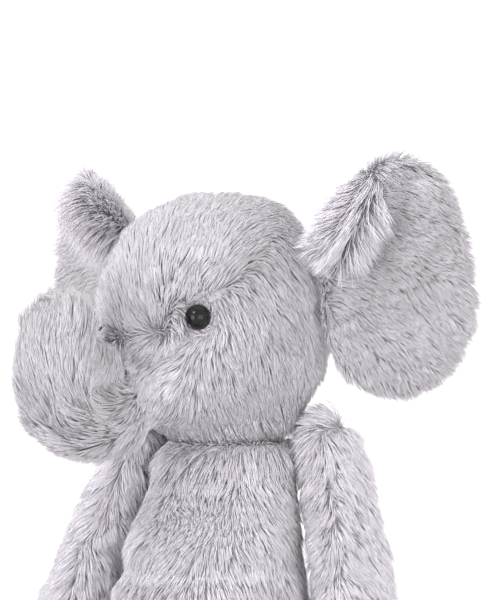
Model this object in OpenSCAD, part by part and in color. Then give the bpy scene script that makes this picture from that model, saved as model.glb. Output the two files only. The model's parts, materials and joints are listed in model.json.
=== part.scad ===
// Long-pile plush elephant, sitting, sewn from panels and filled with stuffing.
// Millimetres. +Z up, the front faces -Y and the elephant's left is +X.
// The origin is on the flat seat that it rests on, straight below the middle of the neck.

/* [Body] */
// Height of the neck seam above the seat
neck_h = 127; // [120:1:135]
// Width of the belly at its widest
belly_w = 82; // [78:1:84]
// Width of the torso at the neck seam
neck_w = 50; // [44:1:54]
// Diameter of the flat round seat panel
seat_d = 76; // [60:1:78]

/* [Head] */
// Width of the head, ear to ear
head_w = 86; // [80:1:90]
// Height of the head, chin to crown
head_h = 95; // [90:1:100]
// Depth of the head without the trunk
head_d = 88; // [84:1:92]
// How far the head is turned towards the elephant's right
head_yaw = 25; // [0:1:35]
// Diameter of the glossy eyes
eye_d = 10; // [8:0.5:12]

/* [Ears] */
// How far the left ear flares back
flare_left = 20; // [10:1:30]
// How far the right ear flares back
flare_right = 2; // [-5:1:20]
// How far the top of the right ear leans outwards
lean_right = 9; // [0:1:15]
// How far the top of the right ear tips forward
tip_right = 14; // [0:1:18]
// How much higher the right ear stands
lift_right = 6; // [0:1:10]
// Angle through which the upper edge of each ear curls forward
curl_angle = 100; // [60:5:120]

/* [Fabric] */
// Thickness of one plush panel, backing and packed pile
panel_t = 4; // [3:0.5:5]

/* [Hidden] */
torso_nodes = ["torso_front", "torso_back", "torso_base", "torso_stuffing", "bean_bag", "side_label",
    "closing_seam"];
head_nodes = ["neck_seam", "head_side_left", "head_side_right", "forehead_gusset", "chin_gusset",
    "head_stuffing", "eye_left", "eye_right", "eye_washer_left", "eye_washer_right"];
trunk_nodes = ["trunk_upper", "trunk_under", "trunk_tip", "trunk_stuffing"];
ear_nodes = ["ear_left_front", "ear_left_back", "ear_right_front", "ear_right_back"];
arm_nodes = ["arm_left_outer", "arm_left_inner", "arm_left_stuffing", "arm_right_outer",
    "arm_right_inner", "arm_right_stuffing"];
leg_nodes = ["leg_left_upper", "leg_left_under", "leg_left_sole", "leg_left_stuffing",
    "leg_right_upper", "leg_right_under", "leg_right_sole", "leg_right_stuffing"];
tail_nodes = ["tail_core", "tail_tuft"];

plush_colour = [0.80, 0.78, 0.81];
lining_colour = [0.74, 0.72, 0.75];
filling_colour = [0.95, 0.95, 0.93];
bean_colour = [0.86, 0.84, 0.78];
eye_colour = [0.03, 0.03, 0.03];
thread_colour = [0.66, 0.64, 0.67];
label_colour = [0.93, 0.93, 0.93];

$fn = 48;
left = 1;
right = -1;
// Gap between stuffing and panel, so that their facets stay clear of each other
stuffing_gap = 1;
// Gap between pieces that move against each other
joint_gap = 0.6;
// Steps for measuring a surface's slope
step_u = 0.004;
step_a = 0.5;

// ---- Curves and surfaces ----

function unit(v) = v / norm(v);
function place(row) = [row[0], row[1], row[2]];
function blend(a, b, t) = a + (b - a) * t;

// A smooth curve through rows of equal length, for u from 0 to 1
function spline(rows, u) =
    let (
        n = len(rows) - 1,
        x = min(max(u, 0), 1) * n,
        i = min(floor(x), n - 1),
        t = x - i,
        a = rows[max(i - 1, 0)],
        b = rows[i],
        c = rows[i + 1],
        d = rows[min(i + 2, n)]
    )
    b + t * ((c - a) + t * ((2 * a - 5 * b + 4 * c - d) + t * (3 * (b - c) + d - a))) / 2;

// How much a rounded end narrows a tube: from 0 at its tip to 1 where it is full
function dome(u, from, to) =
    let (
        head = from > 0 && u < from ? (from - u) / from : 0,
        tail = to < 1 && u > to ? (u - to) / (1 - to) : 0
    )
    sqrt(max(0, 1 - head * head)) * sqrt(max(0, 1 - tail * tail));

// A point on a tube whose rows are [x, y, z, half width along side, half depth]
function tube_point(rows, side, from, to, u, a) =
    let (
        row = spline(rows, u),
        ahead = unit(place(spline(rows, u + 0.01)) - place(spline(rows, u - 0.01))),
        across = unit(side - (side * ahead) * ahead),
        deep = cross(ahead, across),
        k = dome(u, from, to)
    )
    place(row) + k * (row[3] * cos(a) * across + row[4] * sin(a) * deep);

// The outward direction of surface f, a function of u and an angle
function outward(f, u, a) =
    let (
        v = min(max(u, 0.03), 0.97),
        along = f(v + step_u, a) - f(v - step_u, a),
        around = f(v, a + step_a) - f(v, a - step_a)
    )
    unit(cross(around, along));

function pole_outward(f, u) = unit(
    outward(f, u, 0) + outward(f, u, 90) + outward(f, u, 180) + outward(f, u, 270));

function inset_point(f, u, a, inset, pole) =
    f(u, a) - inset * (pole ? pole_outward(f, u) : outward(f, u, a));

// Rows of points over part of a surface; a row at a closed end is one repeated point
function grid(f, us, as, inset, poles) = [
    for (i = [0 : len(us) - 1])
        for (a = as)
            inset_point(f, us[i], poles[i] ? 0 : a, inset, poles[i])];

function steps(from, to, n) = [for (i = [0 : n]) blend(from, to, i / n)];
// Steps that crowd together towards a rounded end at u = 0 and at u = 1
function crowded_both(n) = [for (i = [0 : n]) (1 - cos(180 * i / n)) / 2];

function two(q) = [[q[0], q[1], q[2]], [q[0], q[2], q[3]]];
function whole(t) = t[0] != t[1] && t[1] != t[2] && t[2] != t[0];
function triangles(quads) = [for (q = quads) for (t = two(q)) if (whole(t)) t];

// A sewn panel: the part of surface f over us and as, panel_t thick.
// closed says for each of us whether the surface comes to a point there.
module panel(f, us, as, closed) {
    wrap = as[len(as) - 1] - as[0] == 360;
    angles = wrap ? [for (i = [0 : len(as) - 2]) as[i]] : as;
    m = len(angles);
    n = len(us);
    cells = wrap ? m : m - 1;
    inner = n * m;
    function at(i, j) = i * m + (closed[i] ? 0 : j % m);
    faces = concat(
        [for (i = [0 : n - 2]) for (j = [0 : cells - 1])
            [at(i, j), at(i + 1, j), at(i + 1, j + 1), at(i, j + 1)]],
        [for (i = [0 : n - 2]) for (j = [0 : cells - 1])
            [inner + at(i, j + 1), inner + at(i + 1, j + 1), inner + at(i + 1, j), inner + at(i, j)]],
        [for (i = [0 : n - 2]) if (!wrap)
            [inner + at(i, 0), inner + at(i + 1, 0), at(i + 1, 0), at(i, 0)]],
        [for (i = [0 : n - 2]) if (!wrap)
            [at(i, m - 1), at(i + 1, m - 1), inner + at(i + 1, m - 1), inner + at(i, m - 1)]],
        [for (j = [0 : cells - 1]) if (!closed[0])
            [at(0, j), at(0, j + 1), inner + at(0, j + 1), inner + at(0, j)]],
        [for (j = [0 : cells - 1]) if (!closed[n - 1])
            [at(n - 1, j + 1), at(n - 1, j), inner + at(n - 1, j), inner + at(n - 1, j + 1)]]
    );
    polyhedron(
        points = concat(grid(f, us, angles, 0, closed), grid(f, us, angles, panel_t, closed)),
        faces = triangles(faces),
        convexity = 8
    );
}

// A solid filling of surface f, inset from it, with flat ends where it isn't closed
module filling(f, us, inset, closed, around = 20) {
    angles = [for (j = [0 : around - 1]) 360 * j / around];
    n = len(us);
    m = around;
    rings = grid(f, us, angles, inset, closed);
    function at(i, j) = i * m + (closed[i] ? 0 : j % m);
    shares = [for (j = [0 : m - 1]) 1 / m];
    function ring(i) = [for (j = [0 : m - 1]) rings[i * m + j]];
    function middle(i) = shares * ring(i);
    first = n * m;
    last = first + 1;
    walls = [for (i = [0 : n - 2]) for (j = [0 : m - 1])
        [at(i, j), at(i + 1, j), at(i + 1, j + 1), at(i, j + 1)]];
    ends = concat(
        [for (j = [0 : m - 1]) if (!closed[0]) [at(0, j), at(0, j + 1), first]],
        [for (j = [0 : m - 1]) if (!closed[n - 1]) [at(n - 1, j + 1), at(n - 1, j), last]]
    );
    polyhedron(
        points = concat(rings, [middle(0), middle(n - 1)]),
        faces = concat(triangles(walls), ends),
        convexity = 8
    );
}

function no_poles(us) = [for (u = us) false];
function pole_at_end(us) = [for (i = [0 : len(us) - 1]) i == len(us) - 1];
function pole_at_start(us) = [for (i = [0 : len(us) - 1]) i == 0];
function pole_at_both(us) = [for (i = [0 : len(us) - 1]) i == 0 || i == len(us) - 1];

// Turns +Z to point along v
module facing(v) {
    way = unit(v);
    rotate([0, acos(way[2]), atan2(way[1], way[0])]) children();
}

// ---- Torso ----

base_t = 5;
base_y = -8;
torso_rows = let (b = belly_w / 2, w = neck_w / 2) [
    [0, base_y, base_t, b - 3, b - 2.5],
    [0, base_y - 2, 20, b, b + 1],
    [0, base_y - 6, 38, b, b + 1.5],
    [0, base_y - 11, 56, b - 1.5, b],
    [0, base_y - 12, 74, b - 4, b - 2.5],
    [0, base_y - 9, 91, b - 7, b - 7],
    [0, base_y - 2, 105, b - 10, b - 12],
    [0, base_y + 4, 117, w + 3.5, w + 2.5],
    [0, 0, neck_h, w, w - 2]
];
// The torso is sliced level, so that its neck is flat
torso_skin = function (u, a)
    let (row = spline(torso_rows, u))
    place(row) + [row[3] * cos(a), row[4] * sin(a), 0];
torso_us = steps(0, 1, 16);

module torso_front() {
    color(plush_colour) panel(torso_skin, torso_us, steps(180, 360, 16), no_poles(torso_us));
}

module torso_back() {
    color(plush_colour) panel(torso_skin, torso_us, steps(0, 180, 16), no_poles(torso_us));
}

module torso_base() {
    color(plush_colour)
        translate([0, base_y, 0])
            cylinder(d = seat_d, h = base_t - 0.2);
}

bag_h = 34;
bag_d = 64;
bag_z = base_t + 3;

function arc(middle, r, from, to) = [for (a = steps(from, to, 6)) middle + r * [cos(a), sin(a)]];

module bean_bag() {
    low_r = 10;
    high_r = 13;
    color(bean_colour)
        translate([0, base_y, bag_z])
            rotate_extrude($fn = 64)
                polygon(concat(
                    [[0, 0]],
                    arc([bag_d / 2 - low_r, low_r], low_r, -90, 0),
                    arc([bag_d / 2 - high_r, bag_h - high_r], high_r, 0, 90),
                    [[0, bag_h]]
                ));
}

module torso_stuffing() {
    us = steps(0.34, 0.985, 10);
    color(filling_colour) filling(torso_skin, us, panel_t + stuffing_gap, no_poles(us), 24);
}

label_size = [0.8, 12, 20];

// A blank label in the left side seam, near the seat
module side_label() {
    color(label_colour)
        translate([belly_w / 2 + 0.6, base_y - 6, 26])
            translate([0, -label_size[1] / 2, 0])
                cube(label_size);
}

// The ladder stitch that closes the back after filling
module closing_seam() {
    thread_r = 0.5;
    color(thread_colour)
        for (k = [0 : 7]) {
            z = 52 + 5 * k;
            translate([0, back_y(z) + thread_r + 0.1, z])
                rotate([0, 90, 0])
                    cylinder(r = thread_r, h = 5, center = true, $fn = 16);
        }
}

// The back of the torso at height z, read off its surface
back_line = [for (i = [0 : 160]) torso_skin(i / 160, 90)];
function back_y(z) = max([for (p = back_line) if (abs(p[2] - z) < 1.6) p[1]]);

// ---- Neck ----

neck_ring_r = neck_w / 2 - 11;
thread_r = 1;

module neck_seam() {
    color(thread_colour)
        translate([0, 0, neck_h + thread_r + joint_gap])
            rotate_extrude($fn = 64)
                translate([neck_ring_r, 0])
                    circle(r = thread_r, $fn = 24);
}

// ---- Head ----

// The head has its own frame: its middle at the origin, the face towards -Y
neck_gap = 4;
head_centre = [-4, -8, neck_h + neck_gap + head_h / 2];
muzzle_start = [0, -18, -40];
muzzle_ahead = unit([0, -1, -0.12]);
muzzle_reach = 15;
muzzle_r = 21;

module in_head() {
    translate(head_centre) rotate([0, 0, -head_yaw]) children();
}

// The plain head: fuller cheeks below, rounder above
function skull_point(u, a) =
    let (
        way = [-cos(180 * u), -sin(180 * u) * sin(a), sin(180 * u) * cos(a)],
        n = 2.55 - 0.35 * way[2],
        half = [head_w, head_d, head_h] / 2,
        size = pow(pow(abs(way[0]) / half[0], n) + pow(abs(way[1]) / half[1], n)
            + pow(abs(way[2]) / half[2], n), -1 / n)
    )
    size * way;

// The muzzle swells out of the face where the trunk begins
head_skin = function (u, a)
    let (
        p = skull_point(u, a),
        off = p - muzzle_start,
        ahead = off * muzzle_ahead,
        beside = norm(off - ahead * muzzle_ahead),
        front = min(max((ahead + 6) / 12, 0), 1),
        swell = muzzle_reach * front * exp(-pow(beside / muzzle_r, 4))
    )
    p + swell * muzzle_ahead;

gusset_from = 0.34;
gusset_to = 0.66;
// The gusset runs from the muzzle over the crown to the nape, the chin panel closes below
gusset_angles = steps(-125, 105, 40);
chin_angles = steps(105, 235, 26);
middle_us = steps(gusset_from, gusset_to, 10);
right_us = [for (i = [0 : 9]) gusset_from * (1 - cos(90 * i / 9))];
left_us = [for (i = [9 : -1 : 0]) 1 - right_us[i]];
side_angles = steps(-125, 235, 48);

eye_at = [27.5, -35.5, -4.5];
eye_u = acos(-eye_at[0] / norm(eye_at)) / 180;
eye_a = atan2(-eye_at[1], eye_at[2]);
eye_point = head_skin(eye_u, eye_a);
eye_way = unit(outward(head_skin, eye_u, eye_a) + [-0.1, -0.35, 0.02]);
eye_sink = 3.2;
shank_r = 1.6;
shank_l = 10;
washer_r = 5.5;
washer_t = 1.2;

// Puts something on the left or right eye's spot, with +Z pointing out of the head
module on_eye(side) {
    in_head()
        scale([side, 1, 1])
            translate(eye_point)
                facing(eye_way)
                    translate([0, 0, -eye_sink])
                        children();
}

module eye_hole(side) {
    on_eye(side) {
        cylinder(r = shank_r + 0.15, h = 24, center = true, $fn = 32);
        sphere(r = eye_d / 2 + 0.15, $fn = 48);
    }
}

module head_side(side) {
    us = side == left ? left_us : right_us;
    color(plush_colour)
        difference() {
            in_head()
                panel(head_skin, us, side_angles, side == left ? pole_at_end(us) : pole_at_start(us));
            eye_hole(side);
        }
}

module head_side_left() {
    head_side(left);
}

module head_side_right() {
    head_side(right);
}

module forehead_gusset() {
    color(plush_colour)
        in_head() panel(head_skin, middle_us, gusset_angles, no_poles(middle_us));
}

module chin_gusset() {
    color(plush_colour)
        in_head() panel(head_skin, middle_us, chin_angles, no_poles(middle_us));
}

module eye_pocket(side) {
    on_eye(side)
        translate([0, 0, -shank_l - 1])
            cylinder(r = washer_r + 0.6, h = shank_l + 2, $fn = 32);
}

module head_stuffing() {
    us = crowded_both(14);
    color(filling_colour)
        difference() {
            in_head() filling(head_skin, us, panel_t + stuffing_gap, pole_at_both(us), 26);
            eye_pocket(left);
            eye_pocket(right);
        }
}

module eye(side) {
    color(eye_colour)
        on_eye(side)
            union() {
                sphere(r = eye_d / 2, $fn = 64);
                translate([0, 0, -shank_l]) cylinder(r = shank_r, h = shank_l, $fn = 32);
            }
}

module eye_left() {
    eye(left);
}

module eye_right() {
    eye(right);
}

module eye_washer(side) {
    color(filling_colour)
        on_eye(side)
            translate([0, 0, -shank_l + 1])
                difference() {
                    cylinder(r = washer_r, h = washer_t, $fn = 32);
                    translate([0, 0, -1]) cylinder(r = shank_r + 0.05, h = washer_t + 2, $fn = 32);
                }
}

module eye_washer_left() {
    eye_washer(left);
}

module eye_washer_right() {
    eye_washer(right);
}

// ---- Trunk: its raised part, which bends against the muzzle ----

trunk_rows = [
    [0, -52, -45.5, 14, 11.5],
    [0, -58, -47, 16.5, 11.6],
    [0, -64.5, -47.6, 18, 11.6],
    [0, -71.5, -46.6, 18.8, 11.6],
    [0, -77.8, -42, 19.3, 11.6],
    [0, -81, -34.7, 19.6, 12.2],
    [0, -81.2, -25.5, 19.6, 13.4],
    [0, -80, -15.5, 18.2, 13.4],
    [0, -77.5, -7, 14.5, 12],
    [0, -75.5, -1.5, 12, 10.5]
];
trunk_skin = function (u, a) tube_point(trunk_rows, [1, 0, 0], 0.12, 1, u, a);
trunk_us = concat([0, 0.006, 0.022, 0.05, 0.085], steps(0.125, 1, 16));
tip_t = 3;

module trunk_upper() {
    color(plush_colour)
        in_head() panel(trunk_skin, trunk_us, steps(180, 360, 12), pole_at_start(trunk_us));
}

module trunk_under() {
    color(plush_colour)
        in_head() panel(trunk_skin, trunk_us, steps(0, 180, 12), pole_at_start(trunk_us));
}

// The round panel that closes the trunk's end
module trunk_tip() {
    end = place(trunk_rows[len(trunk_rows) - 1]);
    before = place(trunk_rows[len(trunk_rows) - 2]);
    color(lining_colour)
        in_head()
            translate(end)
                facing(end - before)
                    translate([0, 0, 0.1])
                        cylinder(r = 10.5, h = tip_t);
}

module trunk_stuffing() {
    us = steps(0.13, 0.985, 12);
    color(filling_colour)
        in_head() filling(trunk_skin, us, panel_t + stuffing_gap, no_poles(us), 16);
}

// ---- Ears ----

// The ear's own frame: the root at the origin, outwards along +X, up along +Z, front along -Y.
// Its outline is a smooth ring of [out, up] points about ear_middle.
ear_middle = [29, 8];
ear_outline = [
    [3, -6], [5, -15], [10, -24], [19, -31], [32, -34], [47, -31], [58, -20], [65, -4], [64, 14],
    [60, 32], [54, 47], [43, 56], [26, 59], [12, 50], [5, 36], [4, 20], [3, 5]
];
ear_root_gap = 1.6;
ear_half_t = 7;
// The curl starts along a line through curl_foot and turns about curl_axis
curl_foot = [31, 29.5];
curl_axis = unit([30, 42]);
curl_away = [-curl_axis[1], curl_axis[0]];
curl_r = 14;
// How much thicker each side is where the pile stands out along the curl
curl_fat = 3;

function ear_rim(t) =
    let (
        n = len(ear_outline),
        x = t * n,
        i = floor(x),
        f = x - i,
        a = ear_outline[(i + n - 1) % n],
        b = ear_outline[i % n],
        c = ear_outline[(i + 1) % n],
        d = ear_outline[(i + 2) % n]
    )
    b + f * ((c - a) + f * ((2 * a - 5 * b + 4 * c - d) + f * (3 * (b - c) + d - a))) / 2;

// From the flat cut to the curled and slightly cupped sheet
function curled(p) =
    let (
        past = (p - curl_foot) * curl_away,
        angle = min(max(past, 0) / curl_r * 180 / PI, curl_angle),
        rest = max(past, 0) - angle * PI / 180 * curl_r,
        flat = p - max(past, 0) * curl_away,
        reach = curl_r * sin(angle) + rest * cos(angle),
        rise = curl_r * (1 - cos(angle)) + rest * sin(angle),
        q = flat + reach * curl_away,
        cup = 0.0022 * pow(max(q[0] - 20, 0), 2)
    )
    [q[0], -rise - cup, q[1]];

function ear_flat(r, t) = blend(ear_middle, ear_rim(t), r);
function ear_sheet(r, t) = curled(ear_flat(r, t));
function ear_normal(p) =
    let (e = 0.3)
    unit(cross(curled(p + [0, e]) - curled(p - [0, e]), curled(p + [e, 0]) - curled(p - [e, 0])));

// The sheet moved to one side by a thickness that falls off towards the rim, except where it curls
function ear_point(r, t, face) =
    let (
        p = ear_flat(r, t),
        past = min(max((p - curl_foot) * curl_away / curl_r, 0), 1),
        h = ear_half_t * (1 - 0.5 * pow(r, 3)) + curl_fat * past
    )
    curled(p) + face * h * -ear_normal(p);

ear_rings = [0.25, 0.5, 0.72, 0.88, 1];
ear_around = 34;

// One fabric side of an ear, from its middle layer to its front or back face
module ear_half(face) {
    m = ear_around;
    n = len(ear_rings);
    outer = concat([ear_point(0, 0, face)],
        [for (r = ear_rings) for (j = [0 : m - 1]) ear_point(r, j / m, face)]);
    inner = concat([ear_sheet(0, 0)],
        [for (r = ear_rings) for (j = [0 : m - 1]) ear_sheet(r, j / m)]);
    k = len(outer);
    function at(i, j) = 1 + i * m + j % m;
    fans = [for (j = [0 : m - 1]) [0, at(0, j), at(0, j + 1)]];
    quads = [for (i = [0 : n - 2]) for (j = [0 : m - 1])
        [at(i, j), at(i + 1, j), at(i + 1, j + 1), at(i, j + 1)]];
    top = concat(fans, triangles(quads));
    bottom = [for (t = top) [k + t[2], k + t[1], k + t[0]]];
    rim = triangles([for (j = [0 : m - 1])
        [at(n - 1, j), k + at(n - 1, j), k + at(n - 1, j + 1), at(n - 1, j + 1)]]);
    all = concat(top, bottom, rim);
    polyhedron(
        points = concat(outer, inner),
        faces = face < 0 ? all : [for (t = all) [t[2], t[1], t[0]]],
        convexity = 8
    );
}

ear_root_back = 25;
// A leaning ear stands further off, so that its lower end stays clear of the cheek
lean_room = 0.15;

// The left ear's frame in the head's; the right ear mirrors it
module on_ear(side) {
    flare = side == left ? flare_left : flare_right;
    root = head_w / 2 + ear_root_gap + (side == left ? 0 : lean_room * lean_right);
    in_head()
        scale([side, 1, 1])
            translate([root * cos(ear_root_back), root * sin(ear_root_back), side == left ? 0 : lift_right])
                rotate(side == left ? [0, 0, flare] : [tip_right, lean_right, flare])
                    children();
}

module ear_left_front() {
    color(plush_colour) on_ear(left) ear_half(1);
}

module ear_left_back() {
    color(plush_colour) on_ear(left) ear_half(-1);
}

module ear_right_front() {
    color(plush_colour) on_ear(right) ear_half(1);
}

module ear_right_back() {
    color(plush_colour) on_ear(right) ear_half(-1);
}

// ---- Arms ----

function arm_rows(side) = [
    [side * 37, 2, 137, 11, 11],
    [side * 40.5, 1, 124, 13, 13.5],
    [side * 46, -4, 104, 14.5, 15.5],
    [side * 52.5, -10, 83, 16, 17],
    [side * 57.5, -17, 62, 17, 18],
    [side * 63, -25, 42, 17.5, 17.5],
    [side * 66.5, -31, 26, 17, 17]
];
left_arm_skin = function (u, a) tube_point(arm_rows(left), [1, 0, 0], 0.1, 0.82, u, a);
right_arm_skin = function (u, a) tube_point(arm_rows(right), [1, 0, 0], 0.1, 0.82, u, a);
limb_us = crowded_both(14);
outer_half = steps(-90, 90, 10);
inner_half = steps(90, 270, 10);

module arm_panel(skin, angles) {
    color(plush_colour) panel(skin, limb_us, angles, pole_at_both(limb_us));
}

module arm_filling(skin) {
    us = crowded_both(10);
    color(filling_colour) filling(skin, us, panel_t + stuffing_gap, pole_at_both(us), 14);
}

module arm_left_outer() {
    arm_panel(left_arm_skin, outer_half);
}

module arm_left_inner() {
    arm_panel(left_arm_skin, inner_half);
}

module arm_left_stuffing() {
    arm_filling(left_arm_skin);
}

module arm_right_outer() {
    arm_panel(right_arm_skin, inner_half);
}

module arm_right_inner() {
    arm_panel(right_arm_skin, outer_half);
}

module arm_right_stuffing() {
    arm_filling(right_arm_skin);
}

// ---- Legs ----

sole_t = 4;
function leg_rows(side) = [
    [side * 24, -51, 23, 16, 16],
    [side * 26, -62, 23, 17.5, 17.5],
    [side * 29, -78, 22.5, 19.5, 19.5],
    [side * 32.5, -95, 22.8, 21.5, 21],
    [side * 36, -113, 23.5, 23, 22.5],
    [side * 39.5, -131, 24.5, 23.5, 23]
];
left_leg_skin = function (u, a) tube_point(leg_rows(left), [1, 0, 0], 0.2, 1, u, a);
right_leg_skin = function (u, a) tube_point(leg_rows(right), [1, 0, 0], 0.2, 1, u, a);
leg_us = concat([0, 0.01, 0.035, 0.08, 0.14], steps(0.21, 1, 9));

module leg_panel(skin, angles) {
    color(plush_colour) panel(skin, leg_us, angles, pole_at_start(leg_us));
}

module leg_filling(skin) {
    us = steps(0.16, 0.985, 8);
    color(filling_colour) filling(skin, us, panel_t + stuffing_gap, no_poles(us), 16);
}

// The round sole that closes the leg's end
module sole(side) {
    rows = leg_rows(side);
    end = place(rows[len(rows) - 1]);
    before = place(rows[len(rows) - 2]);
    color(lining_colour)
        translate(end)
            facing(end - before)
                translate([0, 0, 0.3])
                    cylinder(r = 21, h = sole_t);
}

module leg_left_upper() {
    leg_panel(left_leg_skin, steps(180, 360, 12));
}

module leg_left_under() {
    leg_panel(left_leg_skin, steps(0, 180, 12));
}

module leg_left_sole() {
    sole(left);
}

module leg_left_stuffing() {
    leg_filling(left_leg_skin);
}

module leg_right_upper() {
    leg_panel(right_leg_skin, steps(180, 360, 12));
}

module leg_right_under() {
    leg_panel(right_leg_skin, steps(0, 180, 12));
}

module leg_right_sole() {
    sole(right);
}

module leg_right_stuffing() {
    leg_filling(right_leg_skin);
}

// ---- Tail ----

tail_z = 22;
tail_r = 5;
tail_root = [0, back_y(tail_z) + tail_r + joint_gap, tail_z];
tail_end = [0, 17, -9.5];
tail_end_r = 4;
tuft_r = 6.5;

module tail_core() {
    color(plush_colour)
        hull() {
            translate(tail_root) sphere(r = tail_r, $fn = 24);
            translate(tail_root + tail_end) sphere(r = tail_end_r, $fn = 24);
        }
}

module tail_tuft() {
    color(plush_colour)
        translate(tail_root + tail_end + (tail_end_r + tuft_r + 0.2) * unit(tail_end))
            sphere(r = tuft_r, $fn = 32);
}

torso_front();
torso_back();
torso_base();
torso_stuffing();
bean_bag();
side_label();
closing_seam();
neck_seam();
head_side_left();
head_side_right();
forehead_gusset();
chin_gusset();
head_stuffing();
eye_left();
eye_right();
eye_washer_left();
eye_washer_right();
trunk_upper();
trunk_under();
trunk_tip();
trunk_stuffing();
ear_left_front();
ear_left_back();
ear_right_front();
ear_right_back();
arm_left_outer();
arm_left_inner();
arm_left_stuffing();
arm_right_outer();
arm_right_inner();
arm_right_stuffing();
leg_left_upper();
leg_left_under();
leg_left_sole();
leg_left_stuffing();
leg_right_upper();
leg_right_under();
leg_right_sole();
leg_right_stuffing();
tail_core();
tail_tuft();
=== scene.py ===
"""A sitting long-pile plush elephant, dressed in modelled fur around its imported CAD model. Metres."""

import json
import math

import bmesh
import bpy
import numpy as np
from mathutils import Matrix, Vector
from mathutils.kdtree import KDTree


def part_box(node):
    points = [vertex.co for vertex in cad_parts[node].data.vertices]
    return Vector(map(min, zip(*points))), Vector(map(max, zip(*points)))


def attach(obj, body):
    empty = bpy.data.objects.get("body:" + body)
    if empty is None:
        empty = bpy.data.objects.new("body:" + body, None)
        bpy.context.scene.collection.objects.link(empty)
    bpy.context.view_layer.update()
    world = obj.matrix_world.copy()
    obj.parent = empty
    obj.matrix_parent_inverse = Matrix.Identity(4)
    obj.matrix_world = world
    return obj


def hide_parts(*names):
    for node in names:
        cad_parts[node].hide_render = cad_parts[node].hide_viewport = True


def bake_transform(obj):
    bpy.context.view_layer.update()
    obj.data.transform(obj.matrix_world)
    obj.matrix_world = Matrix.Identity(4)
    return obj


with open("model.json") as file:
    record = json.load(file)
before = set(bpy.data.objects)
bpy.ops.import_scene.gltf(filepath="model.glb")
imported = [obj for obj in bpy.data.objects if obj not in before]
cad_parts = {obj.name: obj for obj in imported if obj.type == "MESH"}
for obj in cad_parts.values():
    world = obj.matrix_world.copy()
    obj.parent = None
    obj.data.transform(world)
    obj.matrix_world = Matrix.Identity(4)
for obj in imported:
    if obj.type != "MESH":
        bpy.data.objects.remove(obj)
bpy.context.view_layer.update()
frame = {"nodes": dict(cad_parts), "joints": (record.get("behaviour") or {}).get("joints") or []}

# ---- Settings ----

MM = 0.001
VOXEL = 2.2 * MM  # cell of the skins' remesh
STRAND_SIDES = 3
STRAND_STEPS = (0.0, 0.36, 0.72)  # where a strand's rings sit; it ends in a point at 1
STRAND_TAPER = (1.0, 0.95, 0.62)
STRAND_R = 0.17 * MM  # radius at the root
PIECE_STRANDS = 12000  # strands in one mesh piece
FLOOR_CLEAR = 0.3 * MM
STRANDS = {"torso": 46000, "head": 66000, "ear": 28000, "arm": 21000, "leg": 19000, "tail": 3200}
EYE_CLEAR = 4.7 * MM  # no strand stands nearer than this to the middle of an eye
HEAD_RISE = 48 * MM  # from the nod pivot up to the head's middle
HEAD_BACK, HEAD_DOWN = 36, 4  # from the eyes to the head's middle, in millimetres

UP = np.array([0.0, 0.0, 1.0])
FRONT = np.array([0.0, -1.0, 0.0])


# ---- The frame's own places ----


def joint(name):
    return next(j for j in frame["joints"] if j["name"] == name)


def pivot(name):
    return np.array(joint(name)["pos_m"])


def middle(node):
    low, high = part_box(node)
    return (np.array(low) + np.array(high)) / 2


# The face's own axes, with their origin midway between the eyes
LEFT = np.array(joint("head_nod")["axis"], float)
AHEAD = np.cross(LEFT, UP)
FACE = (middle("eye_left") + middle("eye_right")) / 2


def in_face(points):
    """The left, ahead and up coordinates of points, from midway between the eyes."""
    off = points - FACE
    return off @ LEFT, off @ AHEAD, off @ UP


# ---- Small vector tools ----


def unit(v):
    return v / np.maximum(np.linalg.norm(v, axis=-1, keepdims=True), 1e-12)


def ramp(x, low, high):
    t = np.clip((x - low) / (high - low), 0, 1)
    return t * t * (3 - 2 * t)


def col(x):
    return np.asarray(x)[:, None]


def along_surface(v, normal):
    return v - normal * (v * normal).sum(1, keepdims=True)


def waves(points, size, seed, count=7):
    """Smooth noise between about -1 and 1, with bumps about size apart."""
    rng = np.random.default_rng(seed)
    ways = unit(rng.normal(size=(count, 3))) * rng.uniform(0.6, 1.5, (count, 1)) * 2 * math.pi / (2 * size)
    return np.sin(points @ ways.T + rng.uniform(0, 2 * math.pi, count)).sum(1) / math.sqrt(count)


def drift(points, size, seed):
    """Smooth noise in all three directions."""
    return np.stack([waves(points, size, seed + k) for k in range(3)], 1)


# ---- Meshes ----


def add_object(name, mesh):
    o = bpy.data.objects.new(name, mesh)
    bpy.context.scene.collection.objects.link(o)
    return o


def points_of(o):
    co = np.empty(len(o.data.vertices) * 3, np.float32)
    o.data.vertices.foreach_get("co", co)
    return co.reshape(-1, 3).astype(float)


def normals_of(o):
    no = np.empty(len(o.data.vertices) * 3, np.float32)
    o.data.vertices.foreach_get("normal", no)
    return no.reshape(-1, 3).astype(float)


def set_points(o, points):
    o.data.vertices.foreach_set("co", points.astype(np.float32).ravel())
    o.data.update()


def apply_modifiers(o):
    dg = bpy.context.evaluated_depsgraph_get()
    mesh = bpy.data.meshes.new_from_object(o.evaluated_get(dg), depsgraph=dg)
    old = o.data
    o.modifiers.clear()
    o.data = mesh
    bpy.data.meshes.remove(old)


def joined(name, nodes, extras=()):
    """One object from copies of CAD nodes and of extra meshes, which it takes over."""
    bm = bmesh.new()
    for node in nodes:
        bm.from_mesh(frame["nodes"][node].data)
    for mesh in extras:
        bm.from_mesh(mesh)
        bpy.data.meshes.remove(mesh)
    mesh = bpy.data.meshes.new(name)
    bm.to_mesh(mesh)
    bm.free()
    return add_object(name, mesh)


def ellipsoid(centre, radii, axes):
    """A mesh ellipsoid with its radii along three axes."""
    bm = bmesh.new()
    bmesh.ops.create_icosphere(bm, subdivisions=4, radius=1)
    for v in bm.verts:
        v.co = Vector(centre + sum(c * r * a for c, r, a in zip(v.co, radii, axes)))
    mesh = bpy.data.meshes.new("ellipsoid")
    bm.to_mesh(mesh)
    bm.free()
    return mesh


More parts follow.
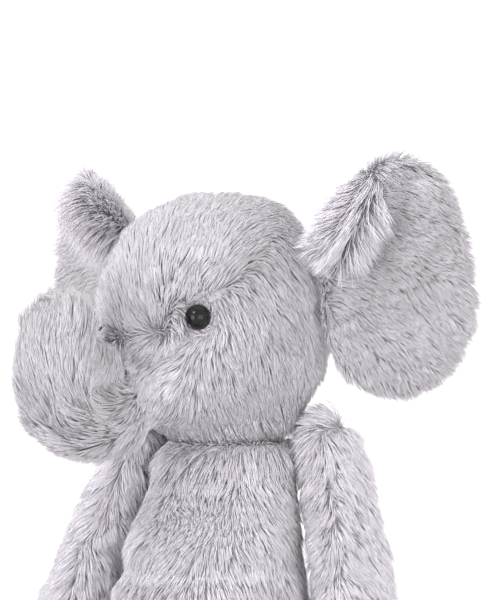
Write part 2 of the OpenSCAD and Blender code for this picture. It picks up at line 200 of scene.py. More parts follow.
def keep_outer_shell(o):
    """Leaves only the largest connected part, so that no hidden hollow stays inside."""
    n = len(o.data.vertices)
    ends = np.empty(len(o.data.edges) * 2, np.int32)
    o.data.edges.foreach_get("vertices", ends)
    a, b = ends.reshape(-1, 2).T
    label = np.arange(n)
    while True:
        low = np.minimum(label[a], label[b])
        new = label.copy()
        np.minimum.at(new, a, low)
        np.minimum.at(new, b, low)
        new = new[new]
        if (new == label).all():
            break
        label = new
    best = np.bincount(label).argmax()
    bm = bmesh.new()
    bm.from_mesh(o.data)
    bm.verts.ensure_lookup_table()
    bmesh.ops.delete(bm, geom=[bm.verts[i] for i in np.flatnonzero(label != best)], context="VERTS")
    bm.to_mesh(o.data)
    bm.free()


def smooth_by(o, times, factor=0.5):
    m = o.modifiers.new("smooth", "SMOOTH")
    m.iterations = times
    m.factor = factor
    apply_modifiers(o)


def skin(name, nodes, pile, extras=(), soften=8):
    """The backing fabric of stuffed CAD nodes: their outer shape, drawn in by the pile's depth."""
    o = joined(name, nodes, extras)
    m = o.modifiers.new("remesh", "REMESH")
    m.mode = "VOXEL"
    m.voxel_size = VOXEL
    apply_modifiers(o)
    keep_outer_shell(o)
    smooth_by(o, soften)
    p, n = points_of(o), normals_of(o)
    depth = pile(p) if callable(pile) else np.full(len(p), pile)
    set_points(o, p - n * col(depth))
    smooth_by(o, 3)
    o.data.shade_smooth()
    return o


# ---- Fur ----


class Roots:
    """Where the strands of a skin stand: their places and the skin's normals there."""

    def __init__(self, o, count, seed, weight=None):
        rng = np.random.default_rng(seed)
        mesh = o.data
        mesh.calc_loop_triangles()
        tris = np.empty(len(mesh.loop_triangles) * 3, np.int32)
        mesh.loop_triangles.foreach_get("vertices", tris)
        tris = tris.reshape(-1, 3)
        p, n = points_of(o), normals_of(o)
        a, b, c = (p[tris[:, k]] for k in range(3))
        area = np.linalg.norm(np.cross(b - a, c - a), axis=1) / 2
        if weight is not None:
            area = area * weight((a + b + c) / 3)
        pick = rng.choice(len(tris), count, p=area / area.sum())
        u, v = rng.random((2, count))
        flip = u + v > 1
        u[flip], v[flip] = 1 - u[flip], 1 - v[flip]
        share = np.stack([1 - u - v, u, v], 1)[:, :, None]
        self.at = (p[tris[pick]] * share).sum(1)
        self.normal = unit((n[tris[pick]] * share).sum(1))
        self.rng = rng

    def keep(self, mask):
        self.at, self.normal = self.at[mask], self.normal[mask]


def nearest(points, centres, apart):
    """For each point, moved by apart, the index of the nearest centre."""
    tree = KDTree(len(centres))
    for i, c in enumerate(centres):
        tree.insert(c, i)
    tree.balance()
    find = tree.find
    return np.array([find(p)[1] for p in points + apart], int)


def curves(at, first, last, length):
    """Each strand's rings and tip, leaving along first and ending along last."""
    s = np.array([*STRAND_STEPS, 1.0])[None, :, None]
    bent = first[:, None] * (s - s * s / 2) + last[:, None] * s * s / 2
    return at[:, None] + length[:, None, None] * bent


def grow(roots, comb, length, lift, clump=0.3, lock=0.15, wild=0.11, tip_lift=0.35, droop=0.08,
         clump_size=7, lock_size=80, painted_light=0.0):
    """The strands as rings of points.

    comb is the way each strand lies, lift how steeply it leaves the skin, from 0 to 1. Strands gather in
    clumps of clump_size, and clumps in locks of lock_size. wild is how much each strays on its own, and
    the last argument, painted light and shade, is added to its tone."""
    at, normal, rng = roots.at, roots.normal, roots.rng
    n = len(at)
    way = unit(along_surface(comb, normal))
    apart = normal * 3 * MM  # keeps strands on the two sides of a thin part from gathering together
    lock_seeds = rng.choice(n, max(n // lock_size, 1), replace=False)
    in_lock = nearest(at, (at + apart)[lock_seeds], apart)
    stray = rng.normal(size=(len(lock_seeds), 3))[in_lock] * wild * 1.1 + rng.normal(size=(n, 3)) * wild
    way = unit(along_surface(way + stray, normal))
    length = length * rng.uniform(0.9, 1.1, len(lock_seeds))[in_lock] * rng.uniform(0.72, 1.08, n)
    lift = np.clip(lift * rng.uniform(0.85, 1.15, n), 0.05, 0.98)
    first = unit(normal * col(lift) + way * col(1 - lift))
    end_lift = lift * tip_lift
    last = unit(normal * col(end_lift) + way * col(1 - end_lift) - UP * droop)
    lines = curves(at, first, last, length)
    own = lines.copy()
    pull = (np.array([*STRAND_STEPS, 1.0]) ** 1.1)[None, :, None]
    lines += lock * pull * (own[lock_seeds[in_lock]] - own)
    seeds = rng.choice(n, max(n // clump_size, 1), replace=False)
    in_clump = nearest(at, (at + apart)[seeds], apart)
    k = clump * rng.uniform(0.75, 1.1, len(seeds))[in_clump][:, None, None]
    lines += k * pull * (lines[seeds[in_clump]] - lines)
    # Each strand's tone is its own random difference plus painted light and shade, lighter or darker pile
    tone = 0.5 + painted_light + 0.03 * rng.normal(size=len(lock_seeds))[in_lock] + 0.055 * rng.normal(size=n)
    return lines, np.clip(tone, 0.02, 0.98)


def strand_points(lines):
    """The points of each strand: its rings from the root up, then its tip."""
    rows = len(STRAND_STEPS)
    tangent = unit(np.diff(lines, axis=1))
    helper = np.where(np.abs(tangent[:, :1, 2:]) < 0.8, UP, FRONT)
    side = unit(np.cross(tangent, helper))
    other = np.cross(side, tangent)
    turn = 2 * math.pi * np.arange(STRAND_SIDES) / STRAND_SIDES
    radius = STRAND_R * np.array(STRAND_TAPER)[None, :, None, None]
    ring = (np.cos(turn)[None, None, :, None] * side[:, :rows, None]
            + np.sin(turn)[None, None, :, None] * other[:, :rows, None]) * radius
    rings = (lines[:, :rows, None] + ring).reshape(len(lines), -1, 3)
    return np.concatenate([rings, lines[:, rows:]], 1)


def strand_triangles():
    """One strand's triangles, as indices of its points."""
    rows = len(STRAND_STEPS)
    last, tip = (rows - 1) * STRAND_SIDES, rows * STRAND_SIDES
    tris = []
    for r in range(rows - 1):
        for k in range(STRAND_SIDES):
            a, b = r * STRAND_SIDES + k, r * STRAND_SIDES + (k + 1) % STRAND_SIDES
            tris += [[a, b, b + STRAND_SIDES], [a, b + STRAND_SIDES, a + STRAND_SIDES]]
    tris += [[last + k, last + (k + 1) % STRAND_SIDES, tip] for k in range(STRAND_SIDES)]
    tris += [[0, 2, 1]]  # closes the root, whose ring has three points
    return np.array(tris)


def strand_uv(tone):
    """Each strand point's UV: u is the strand's tone, v runs from its root to its tip."""
    rows = len(STRAND_STEPS)
    uv = np.empty((len(tone), rows * STRAND_SIDES + 1, 2), np.float32)
    fan = np.tile(np.arange(STRAND_SIDES) / STRAND_SIDES - 0.33, rows)
    uv[:, :-1, 0] = tone[:, None] + fan[None] * 0.012
    uv[:, -1, 0] = tone
    uv[:, :-1, 1] = np.repeat(STRAND_STEPS, STRAND_SIDES)[None] * 0.98 + 0.01
    uv[:, -1, 1] = 0.99
    return uv.reshape(-1, 2)


def strand_mesh(name, lines, tone):
    """A mesh of closed, tapering strands, kept clear of the floor."""
    lines = lines.copy()
    lines[:, :, 2] = np.maximum(lines[:, :, 2], FLOOR_CLEAR)
    points = strand_points(lines)
    n, per = points.shape[:2]
    faces = (np.arange(n)[:, None, None] * per + strand_triangles()[None]).reshape(-1)
    mesh = bpy.data.meshes.new(name)
    mesh.vertices.add(n * per)
    mesh.vertices.foreach_set("co", points.astype(np.float32).ravel())
    mesh.loops.add(len(faces))
    mesh.loops.foreach_set("vertex_index", faces.astype(np.int32))
    mesh.polygons.add(len(faces) // 3)
    mesh.polygons.foreach_set("loop_start", np.arange(0, len(faces), 3, dtype=np.int32))
    layer = mesh.uv_layers.new(name="OFBake")
    layer.data.foreach_set("uv", strand_uv(tone)[faces].ravel())
    mesh.update(calc_edges=True)
    mesh.shade_smooth()
    return mesh


def put_on(o, body):
    """Rides o on the one body that body names; where body names two bodies and a span instead, it only
    fixes o's place into its points, on no body.
    """
    if isinstance(body, str):
        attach(o, body)
    else:
        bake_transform(o)


def fur_pieces(name, lines, tone, body, order=None):
    """Splits the strands into mesh pieces on a body, from bottom to top or by order."""
    n = len(lines)
    rank = np.argsort(lines[:, 0, 2] if order is None else order, kind="stable")
    parts = max(1, math.ceil(n / PIECE_STRANDS))
    for i, pick in enumerate(np.array_split(rank, parts)):
        label = f"{name}_{i + 1}"
        piece = add_object(label, strand_mesh(label, lines[pick], tone[pick]))
        piece.data.materials.append(FUR)
        put_on(piece, body)


# ---- Materials ----


def new_material(name, roughness, specular=0.3, sheen=0.0):
    material = bpy.data.materials.new(name)
    material.use_nodes = True
    shader = material.node_tree.nodes["Principled BSDF"]
    shader.inputs["Roughness"].default_value = roughness
    shader.inputs["Specular IOR Level"].default_value = specular
    shader.inputs["Sheen Weight"].default_value = sheen
    shader.inputs["Sheen Roughness"].default_value = 0.5
    return material, shader


def fur_material(name, root, middle_colour, tip, spread):
    """Darker at the roots as painted shade between the strands, lighter at the tips, and a little different
    from strand to strand.
    """
    material, shader = new_material(name, roughness=0.8, specular=0.1, sheen=0.35)
    nodes, links = material.node_tree.nodes, material.node_tree.links
    uv = nodes.new("ShaderNodeUVMap")
    uv.uv_map = "OFBake"
    split = nodes.new("ShaderNodeSeparateXYZ")
    links.new(uv.outputs["UV"], split.inputs[0])
    # Along each strand, from the root's painted shade up to the lighter tip
    shade = nodes.new("ShaderNodeValToRGB")
    shade.color_ramp.elements[0].position = 0.05
    shade.color_ramp.elements[0].color = (*root, 1)
    shade.color_ramp.elements[1].position = 0.95
    shade.color_ramp.elements[1].color = (*tip, 1)
    mid = shade.color_ramp.elements.new(0.45)
    mid.color = (*middle_colour, 1)
    links.new(split.outputs["Y"], shade.inputs["Fac"])
    tone = nodes.new("ShaderNodeMapRange")
    tone.inputs["To Min"].default_value = 1 - spread
    tone.inputs["To Max"].default_value = 1 + spread * 0.6
    links.new(split.outputs["X"], tone.inputs["Value"])
    mix = nodes.new("ShaderNodeMix")
    mix.data_type = "RGBA"
    mix.blend_type = "MULTIPLY"
    mix.inputs["Factor"].default_value = 1
    links.new(shade.outputs["Color"], mix.inputs[6])
    links.new(tone.outputs["Result"], mix.inputs[7])
    links.new(mix.outputs[2], shader.inputs["Base Color"])
    return material


def backing_material():
    """The knitted backing under the pile."""
    material, shader = new_material("plush_backing", roughness=0.9, specular=0.1)
    nodes, links = material.node_tree.nodes, material.node_tree.links
    noise = nodes.new("ShaderNodeTexNoise")
    noise.inputs["Scale"].default_value = 900
    ramp_node = nodes.new("ShaderNodeValToRGB")
    ramp_node.color_ramp.elements[0].color = (0.44, 0.415, 0.45, 1)
    ramp_node.color_ramp.elements[1].color = (0.54, 0.51, 0.55, 1)
    position = nodes.new("ShaderNodeTexCoord")
    links.new(position.outputs["Object"], noise.inputs["Vector"])
    links.new(noise.outputs["Fac"], ramp_node.inputs["Fac"])
    links.new(ramp_node.outputs["Color"], shader.inputs["Base Color"])
    return material


# The darker root colour is painted shade between the strands
FUR = fur_material(
    "plush_fur",
    root=(0.70, 0.665, 0.71),
    middle_colour=(0.77, 0.735, 0.785),
    tip=(0.83, 0.795, 0.845),
    spread=0.3,
)
BACKING = backing_material()


def dress(o, body, nodes):
    """A skin's material, body and the CAD nodes that it stands for."""
    o.data.materials.clear()
    o.data.materials.append(BACKING)
    put_on(o, body)
    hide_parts(*nodes)


# ---- Torso ----
# Here and below, pile depths and lengths are in millimetres until they are multiplied by MM

TORSO_NODES = ["torso_front", "torso_back", "torso_base", "torso_stuffing"]


def torso():
    neck_z = pivot("head_turn")[2]
    fold_z = 0.63 * neck_z

    def pile(p):
        fold = 1.4 * np.exp(-(((p[:, 2] - fold_z - 0.03 * p[:, 0]) / 0.005) ** 2)) * (p[:, 1] < -0.02)
        seat = ramp(-p[:, 2], -8 * MM, -2 * MM)
        top = ramp(p[:, 2], neck_z - 16 * MM, neck_z - 4 * MM)
        return ((4.2 * (1 - seat) + 1.5 * seat) * (1 - 0.8 * top) + fold) * MM

    o = skin("torso_skin", TORSO_NODES, pile)
    roots = Roots(o, STRANDS["torso"], seed=11, weight=lambda c: 1 - 0.7 * (c[:, 2] < 6 * MM))
    p, n = roots.at, roots.normal
    comb = -UP + 0.22 * np.stack([waves(p, 0.02, 1), waves(p, 0.02, 2), 0 * p[:, 0]], 1)
    under = ramp(-n[:, 2], 0.5, 0.9)
    outward = unit(p * [1, 1, 0] - [0, -8 * MM, 0])
    comb = comb * col(1 - under) + outward * col(under)
    on_top = ramp(n[:, 2], 0.35, 0.8)
    length = (10.5 + 0.8 * waves(p, 0.03, 3)) * (1 - 0.6 * under) * (1 - 0.6 * on_top) * MM
    lift = 0.46 + 0.06 * waves(p, 0.012, 4) - 0.25 * under
    # Painted light: the torso's pile is drawn a tone lighter than the legs'
    lines, tone = grow(roots, comb, length, lift, painted_light=0.12)
    dress(o, "torso", TORSO_NODES)
    fur_pieces("torso_fur", lines, tone, "torso")


# ---- Head and trunk, one skin over both, curving where the trunk begins ----

HEAD_NODES = ["head_side_left", "head_side_right", "forehead_gusset", "chin_gusset", "head_stuffing"]
TRUNK_NODES = ["trunk_upper", "trunk_under", "trunk_tip", "trunk_stuffing"]


def eye_outward(side):
    """The way an eye faces, from the middle of the head."""
    return unit(middle(f"eye_{side}") - pivot("head_nod") - HEAD_RISE * UP)


def eye_gaps(p):
    """Each point's distance from the middle of the nearer eye."""
    return np.minimum(*(np.linalg.norm(p - middle(f"eye_{s}"), axis=1) for s in ("left", "right")))


def neck_gaps(p):
    """Each point's level distance from the neck's middle."""
    return np.linalg.norm((p - pivot("head_nod"))[:, :2], axis=1)


def head_skin(bend):
    """The backing of head and trunk in one, with the trunk's inner bend filled and a bed under each eye."""
    axes = (LEFT, AHEAD, UP)
    bridge = ellipsoid(bend - 12 * MM * AHEAD + 5 * MM * UP, (19 * MM, 17 * MM, 15 * MM), axes)
    inner = ellipsoid(bend - 2 * MM * AHEAD + 17 * MM * UP, (15 * MM, 15 * MM, 15 * MM), axes)
    sockets = []
    for side in ("left", "right"):
        bed = middle(f"eye_{side}") - 6.5 * MM * eye_outward(side)
        sockets.append(ellipsoid(bed, (9 * MM, 9 * MM, 9 * MM), axes))

    def pile(p):
        _, ahead, up = in_face(p)
        chin = (1 - ramp(neck_gaps(p), 20 * MM, 32 * MM)) * ramp(-up, 25 * MM, 34 * MM)
        return (4.4 - 0.9 * ramp(ahead, 0, 25 * MM)) * (1 - 0.8 * chin) * MM

    return skin("head_skin", HEAD_NODES + TRUNK_NODES, pile, extras=[bridge, inner, *sockets])


class HeadRegions:
    """Face coordinates of points in millimetres, and how far each is in the head's regions, 0 to 1."""

    def __init__(self, p, bend):
        left, ahead, up = (x / MM for x in in_face(p))
        aside = np.abs(left)
        self.left, self.ahead, self.up = left, ahead, up
        self.bend = [x[0] / MM for x in in_face(bend[None])]
        self.eye_gap = eye_gaps(p) / MM
        brow = up - (3 + 1.0 * np.maximum(-ahead, 0))
        self.low = ramp(-up, 10, 30)
        self.on_top = np.maximum(ramp(brow, -3, 4), ramp(-aside, -22, -14) * ramp(up, -9, 0))
        self.in_front = ramp(ahead, -9, 6) * ramp(-up, -1, 8)
        self.on_trunk = ramp(ahead, self.bend[1] - 16, self.bend[1] - 2)
        self.by_eye = ramp(-self.eye_gap, -8, -5.5)
        self.chin = (1 - ramp(neck_gaps(p) / MM, 26, 40)) * ramp(-up, 24, 34)
        self.brow_line = np.exp(-((brow / 5) ** 2)) * ramp(-ahead, -4, 2)
        beside_bridge = ramp(aside, 6, 12) * ramp(-aside, -24, -19)
        self.between_eyes = beside_bridge * ramp(-np.abs(up), -14, -7) * (ahead + HEAD_BACK > 18)


def head_comb(p, face):
    left, ahead, up = face.left, face.ahead, face.up
    # The forehead is combed up and over the crown
    over = unit(col(ahead + HEAD_BACK) * UP - col(up + HEAD_DOWN) * AHEAD)
    # The cheeks hang down and a little back, the muzzle lies towards the trunk
    cheek = -UP - 0.25 * AHEAD + col(0.25 * np.sign(left)) * LEFT
    muzzle = AHEAD * col(1.0 - 0.35 * face.low) - UP * col(0.12 + 0.75 * face.low)
    lower = muzzle * col(face.in_front) + cheek * col(1 - face.in_front)
    comb = over * col(face.on_top) + lower * col(1 - face.on_top)
    # The trunk is combed round its bend, out from the crease and towards its tip
    fore, rise = ahead - face.bend[1] + 1, up - face.bend[2] - 13
    path = unit(col(np.maximum(fore, 1)) * UP - col(np.minimum(rise, 0)) * AHEAD)
    splay = unit(col(fore) * AHEAD + col(rise) * UP)
    trunk = path + 0.12 * splay + col(0.1 * left / 18) * LEFT
    comb = comb * col(1 - face.on_trunk) + trunk * col(face.on_trunk)
    comb = comb + 0.14 * drift(p, 0.012, 5)
    # Short hairs lean in over the edge of each eye
    eye_at = np.where(col(left) > 0, middle("eye_left"), middle("eye_right"))
    return comb * col(1 - 0.8 * face.by_eye) + unit(eye_at - p) * col(0.8 * face.by_eye)


def head_and_trunk():
    bend = pivot("trunk_curl")
    start, end = bend - 13 * MM * AHEAD, bend + 1 * MM * AHEAD
    o = head_skin(bend)
    roots = Roots(o, STRANDS["head"], seed=21)
    roots.keep(eye_gaps(roots.at) > EYE_CLEAR)
    p = roots.at
    face = HeadRegions(p, bend)

    length = 9.0 + 0.6 * (1 - face.on_top) + 1.0 * face.low + 0.6 * waves(p, 0.02, 8)
    length *= 0.5 + 0.5 * ramp(face.eye_gap, 5, 12)
    length = length + 1.8 * face.chin + 5 * face.between_eyes
    lift = 0.5 - 0.12 * face.on_top - 0.1 * face.in_front - 0.05 * face.on_trunk + 0.05 * waves(p, 0.008, 9)
    lift = lift * (0.8 + 0.2 * ramp(face.eye_gap, 5, 10)) + 0.25 * face.by_eye
    lift = lift + 0.35 * face.chin + 0.3 * face.between_eyes + 0.3 * face.brow_line
    # Painted shade: the pile on the forehead, crown and trunk is drawn darker where the most light falls on
    # it, and darker still along the brow line, a painted shade in its parting; the rest of the head's pile
    # is a little lighter
    painted_light = 0.05 - 0.2 * face.on_top - 0.4 * face.on_trunk - 0.35 * face.brow_line
    lines, tone = grow(roots, head_comb(p, face), length * MM, lift, painted_light=painted_light)

    bending = ("head", "trunk", start, end)
    on_bend = face.on_trunk > 0.01
    dress(o, bending, HEAD_NODES + TRUNK_NODES)
    fur_pieces("head_fur", lines[~on_bend], tone[~on_bend], "head")
    fur_pieces("trunk_fur", lines[on_bend], tone[on_bend], bending)


# ---- Ears ----


def ear_shell(side, pull):
    """The ear's skin, from both CAD halves drawn towards their middle layer, and the rim's points."""
    halves = []
    for face in ("front", "back"):
        mesh = frame["nodes"][f"ear_{side}_{face}"].data
        mesh.calc_loop_triangles()
        co = np.array([v.co for v in mesh.vertices])
        halves.append((np.round(co / 1e-6).astype(int), [t.vertices[:] for t in mesh.loop_triangles]))
    keys = [set(map(tuple, h[0])) for h in halves]
    shared = keys[0] & keys[1]
    index, points, faces, rim = {}, [], [], set()
    for cells, tris in halves:
        for tri in tris:
            corner = [tuple(cells[i]) for i in tri]
            inner = [c in shared for c in corner]
            if all(inner) or len(set(corner)) < 3:
                continue
            rim.update(c for c, inside in zip(corner, inner) if inside)
            for c in corner:
                if c not in index:
                    index[c] = len(points)
                    points.append(c)
            faces.append([index[c] for c in corner])
    points = np.array(points) * 1e-6
    sheet = np.array(sorted(shared)) * 1e-6
    near = nearest(points, sheet, np.zeros(3))
    drawn = sheet[near] + pull * (points - sheet[near])
    mesh = bpy.data.meshes.new(f"ear_{side}_skin")
    mesh.from_pydata(drawn.tolist(), [], faces)
    o = add_object(f"ear_{side}_skin", mesh)
    m = o.modifiers.new("round", "SUBSURF")
    m.levels = 2
    apply_modifiers(o)
    o.data.shade_smooth()
    return o, np.array(sorted(rim)) * 1e-6


def ear(side, seed, size, reach, sway):
    """An ear sized by size, its curl leaning in by reach and its top swaying to the head by sway."""
    o, rim = ear_shell(side, pull=0.45)
    nodes = [f"ear_{side}_front", f"ear_{side}_back"]
    root_at = pivot(f"ear_{side}_flap")
    out = LEFT if side == "left" else -LEFT
    # The uncurled lower part of the front face gives the ear's facing
    p, n = points_of(o), normals_of(o)
    flat_front = (np.abs(p[:, 2] - root_at[2]) < 14 * MM) & (n @ AHEAD > 0)
    facing = unit(n[flat_front].mean(0))
    foot = p[flat_front].mean(0)

    def height(points):
        return (points - foot) @ facing

    # The curled edge leans further over the ear's middle
    top = height(p) > 12 * MM
    away = unit(along_surface((p[top].mean(0) - foot)[None], facing[None]))[0]

    def lean(points):
        over = reach * ramp(height(points), 4 * MM, 22 * MM) * (points[:, 2] > root_at[2])
        return points - away * col(over) - out * col(sway * ramp(points[:, 2] - root_at[2], 0, 45 * MM))

    set_points(o, root_at + size * (lean(p) - root_at))
    rim = root_at + size * (lean(rim) - root_at)
    roots = Roots(o, STRANDS["ear"], seed=seed)
    p, n = roots.at, roots.normal
    front = (n @ facing) > 0
    from_rim = p - rim[nearest(p, rim, np.zeros(3))]
    curl = ramp(height(p), 4 * MM, 10 * MM) * ramp(p[:, 2] - root_at[2], 0, 10 * MM)
    lie = 0.75 * out - 0.6 * UP + 0.35 * unit(p - root_at)
    # On the curl the pile bursts from the rim's seam: back over the fold, and forward over the ear's middle
    inside = front | ((n @ away) < 0)
    burst = np.where(col(inside), 0.6 * facing - 0.35 * UP, unit(from_rim))
    comb = lie * col(1 - curl) + burst * col(curl)
    comb = comb + 0.1 * drift(p, 0.012, 31)
    length = 8.5 + 9.0 * curl + 0.5 * waves(p, 0.02, 34)
    # The front pile on the ear's flat part towards the curl, where the lobe's painted shadow falls
    lobe_shadow = ramp(-height(p), -4 * MM, 4 * MM) * ramp((p - foot) @ away, -12 * MM, 16 * MM) * front
    lift = 0.4 + 0.05 * waves(p, 0.01, 35) + 0.42 * curl
    root_gap = np.linalg.norm((p - root_at) @ np.stack([out, AHEAD], 1), axis=1) / MM
    length *= 0.6 + 0.4 * ramp(root_gap, 2, 12)
    # Painted light and shade: the curled lobe is drawn lighter, the whole ear a tone darker, and the pile
    # under the lobe darker again as its painted shadow
    painted_light = 0.4 * curl - 0.25 - 0.15 * lobe_shadow
    lines, tone = grow(roots, comb, length * MM, lift, tip_lift=0.35 + 0.4 * curl, painted_light=painted_light,
                       lock=0.15 - 0.08 * curl[:, None, None], droop=0.08 + 0.1 * col(curl))
    dress(o, f"ear_{side}", nodes)
    fur_pieces(f"ear_{side}_fur", lines, tone, f"ear_{side}", order=front + 0.0)


# ---- Arms and legs ----


def centre_line(points, key, bins=14):
    """For each value of key, the mean point of the slice of points there, as a function."""
    edges = np.quantile(key, np.linspace(0, 1, bins + 1))
    which = np.clip(np.searchsorted(edges, key) - 1, 0, bins - 1)
    mid = np.array([points[which == i].mean(0) for i in range(bins)])
    at = np.array([key[which == i].mean() for i in range(bins)])
    return lambda x: np.stack([np.interp(x, at, mid[:, k]) for k in range(3)], 1)


def arm(side, seed):
    nodes = [f"arm_{side}_outer", f"arm_{side}_inner", f"arm_{side}_stuffing"]
    o = skin(f"arm_{side}_skin", nodes, 4.2 * MM)
    roots = Roots(o, STRANDS["arm"], seed=seed)
    p, n = roots.at, roots.normal
    line = centre_line(p, p[:, 2])
    middle_at = line(p[:, 2])
    down = unit(line(p[:, 2] - 6 * MM) - line(p[:, 2] + 6 * MM))
    across = (p - middle_at)[:, 0] / MM
    # The pile parts along the seams down the arm's front and back
    part = np.clip(across / 3, -1, 1)
    comb = down + col(0.8 * part) * np.array([1.0, 0, 0])
    cap = ramp(n[:, 2], 0.3, 0.85)
    inward = np.array([-np.sign(middle_at[0, 0]), 0.0, 0.0])
    comb = comb * col(1 - cap) + (inward - 0.3 * UP) * col(cap)
    comb = comb + 0.16 * drift(p, 0.013, 41)
    length = (12.0 + 1.2 * waves(p, 0.02, 44)) * MM
    lift = 0.44 + 0.07 * waves(p, 0.012, 45) + 0.2 * cap
    # Painted light: the arms' pile is drawn a tone lighter than the legs'
    lines, tone = grow(roots, comb, length, lift, clump=0.42, lock=0.26, wild=0.15, painted_light=0.15)
    dress(o, f"arm_{side}", nodes)
    fur_pieces(f"arm_{side}_fur", lines, tone, f"arm_{side}")


def leg(side, seed):
    nodes = [f"leg_{side}_upper", f"leg_{side}_under", f"leg_{side}_sole", f"leg_{side}_stuffing"]

    def pile(p):
        low = ramp(-p[:, 2], -8 * MM, -1 * MM)
        return (5.0 - 2.8 * low) * MM

    o = skin(f"leg_{side}_skin", nodes, pile)
    roots = Roots(o, STRANDS["leg"], seed=seed, weight=lambda c: 1 - 0.6 * (c[:, 2] < 5 * MM))
    p, n = roots.at, roots.normal
    sole_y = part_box(f"leg_{side}_sole")[0][1]
    line = centre_line(p, p[:, 1])
    along = unit(line(p[:, 1] - 6 * MM) - line(p[:, 1] + 6 * MM))
    at_sole = ramp(-n[:, 1], 0.55, 0.85) * (p[:, 1] < sole_y + 14 * MM)
    out = unit(p - line(p[:, 1]))
    comb = (along - 0.35 * UP) * col(1 - at_sole) + (out - 0.3 * UP) * col(at_sole)
    comb = comb + 0.14 * drift(p, 0.013, 51)
    under = ramp(-n[:, 2], 0.5, 0.9)
    length = (11.5 + 1.0 * waves(p, 0.02, 54)) * (1 - 0.35 * at_sole) * (1 - 0.5 * under) * MM
    lift = 0.48 + 0.06 * waves(p, 0.012, 55) - 0.2 * under
    lines, tone = grow(roots, comb, length, lift)
    dress(o, f"leg_{side}", nodes)
    fur_pieces(f"leg_{side}_fur", lines, tone, f"leg_{side}")


# ---- Tail ----


def tail():
    nodes = ["tail_core", "tail_tuft"]
    root = ellipsoid(pivot("tail_wag") - 4 * MM * np.array([0, 1, 0]), (6 * MM, 9 * MM, 6 * MM), np.eye(3))
    o = skin("tail_skin", ["tail_core"], 1.4 * MM, extras=[root], soften=3)
    roots = Roots(o, STRANDS["tail"], seed=61)
    p = roots.at
    way = unit(middle("tail_tuft") - pivot("tail_wag"))
    far = ramp((p - pivot("tail_wag")) @ way, 6 * MM, 20 * MM)
    comb = way + 0.2 * drift(p, 0.008, 62)
    lines, tone = grow(roots, comb, (7 + 8 * far) * MM, 0.35 - 0.1 * far, clump_size=14)
    dress(o, "tail", nodes)
    fur_pieces("tail_fur", lines, tone, "tail")


# ---- Small parts ----


def plain_material(name, colour, roughness):
    material, shader = new_material(name, roughness)
    shader.inputs["Base Color"].default_value = (*colour, 1)
    return material


def drawn_in(name, node, body, material, shift):
    """A copy of a CAD node, moved in by shift(points) to where the backing lies under the pile."""
    o = joined(name, [node])
    p = points_of(o)
    set_points(o, p + shift(p))
    o.data.materials.clear()
    o.data.materials.append(material)
    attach(o, body)
    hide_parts(node)
    return o


def towards_axis(depth):
    """A shift of every point towards the upright axis."""
    return lambda p: -depth * unit(p * [1, 1, 0])


def stitches():
    material = plain_material("sewing_thread", (0.55, 0.53, 0.56), roughness=0.6)
    drawn_in("closing_stitches", "closing_seam", "torso", material, towards_axis(4.2 * MM))


def label():
    material = plain_material("woven_label", (0.86, 0.85, 0.84), roughness=0.7)
    o = drawn_in("care_label", "side_label", "torso", material, towards_axis(4 * MM))


def washers():
    material = plain_material("washer_plastic", (0.62, 0.62, 0.60), roughness=0.5)
    for side in ("left", "right"):
        inwards = -6 * MM * eye_outward(side)
        drawn_in(f"washer_{side}", f"eye_washer_{side}", "head", material, lambda p: inwards)


def eyes():
    material, shader = new_material("eye_gloss", roughness=0.05, specular=0.16)
    shader.inputs["Base Color"].default_value = (0.004, 0.004, 0.0045, 1)
    shader.inputs["Coat Weight"].default_value = 0.25
    shader.inputs["Coat Roughness"].default_value = 0.02
    for node in ("eye_left", "eye_right"):
        cad = frame["nodes"][node]
        for slot in cad.material_slots:
            slot.material = material


# ---- Stage, light and camera ----


def stage():
    bpy.ops.mesh.primitive_circle_add(vertices=96, radius=0.6, fill_type="NGON", location=(0, 0, -0.2 * MM))
    floor = bpy.context.object
    floor.name = "floor"
    material, shader = new_material("floor", roughness=0.8, specular=0.1)
    shader.inputs["Base Color"].default_value = (0.9, 0.9, 0.9, 1)
    floor.data.materials.append(material)


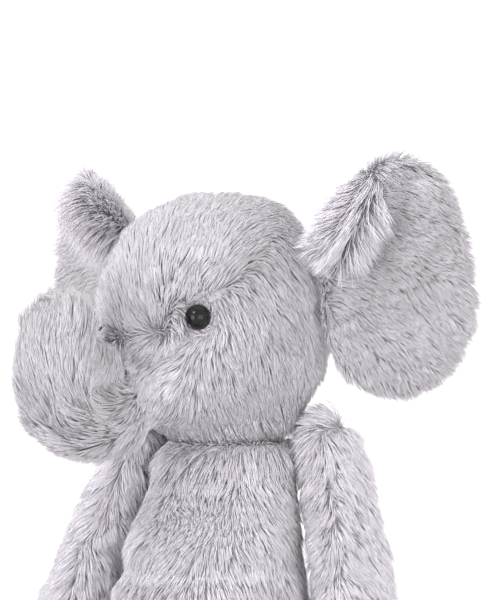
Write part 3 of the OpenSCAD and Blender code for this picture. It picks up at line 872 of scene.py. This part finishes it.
def area_light(name, at, target, size, power):
    lamp = bpy.data.lights.new(name, "AREA")
    lamp.size = size
    lamp.energy = power
    o = bpy.data.objects.new(name, lamp)
    bpy.context.scene.collection.objects.link(o)
    o.location = at
    o.rotation_mode = "QUATERNION"
    o.rotation_quaternion = (Vector(target) - Vector(at)).to_track_quat("-Z", "Y")


VIEW_TURN = math.radians(22)  # the camera stands this far round to the elephant's left
VIEW_DISTANCE = 0.9
CAMERA_HEIGHT = 0.150
AIM_HEIGHT = 0.182
AIM_RIGHT = 0.0072
LENS = 135


def light_and_camera():
    scene = bpy.context.scene
    right = np.array([math.cos(VIEW_TURN), math.sin(VIEW_TURN), 0])
    away = np.array([-math.sin(VIEW_TURN), math.cos(VIEW_TURN), 0])
    data = bpy.data.cameras.new("camera")
    data.lens = LENS
    camera = bpy.data.objects.new("camera", data)
    scene.collection.objects.link(camera)
    camera.location = Vector(-VIEW_DISTANCE * away + CAMERA_HEIGHT * UP)
    aim = AIM_RIGHT * right + AIM_HEIGHT * UP
    camera.rotation_mode = "QUATERNION"
    camera.rotation_quaternion = (Vector(aim) - camera.location).to_track_quat("-Z", "Y")
    scene.camera = camera

    target = (0, 0, 0.15)
    area_light("key", -0.7 * right - 0.8 * away + 1.0 * UP, target, 0.4, 4.5)
    area_light("fill", 0.5 * right - 1.2 * away + 0.05 * UP, target, 1.1, 9)
    area_light("low", -1.0 * right - 0.9 * away + 0.05 * UP, target, 0.9, 11)
    area_light("top", 0.1 * right + 0.3 * away + 1.3 * UP, target, 0.9, 1.5)
    world = bpy.data.worlds.new("world")
    world.use_nodes = True
    world.node_tree.nodes["Background"].inputs["Color"].default_value = (1, 1, 1, 1)
    world.node_tree.nodes["Background"].inputs["Strength"].default_value = 1.2
    scene.world = world
    scene.view_settings.view_transform = "Standard"


stage()
light_and_camera()
torso()
head_and_trunk()
ear("left", 31, size=0.95, reach=13 * MM, sway=0)
ear("right", 32, size=1.08, reach=3 * MM, sway=9 * MM)
arm("left", 41)
arm("right", 42)
leg("left", 51)
leg("right", 52)
tail()
stitches()
label()
washers()
eyes()
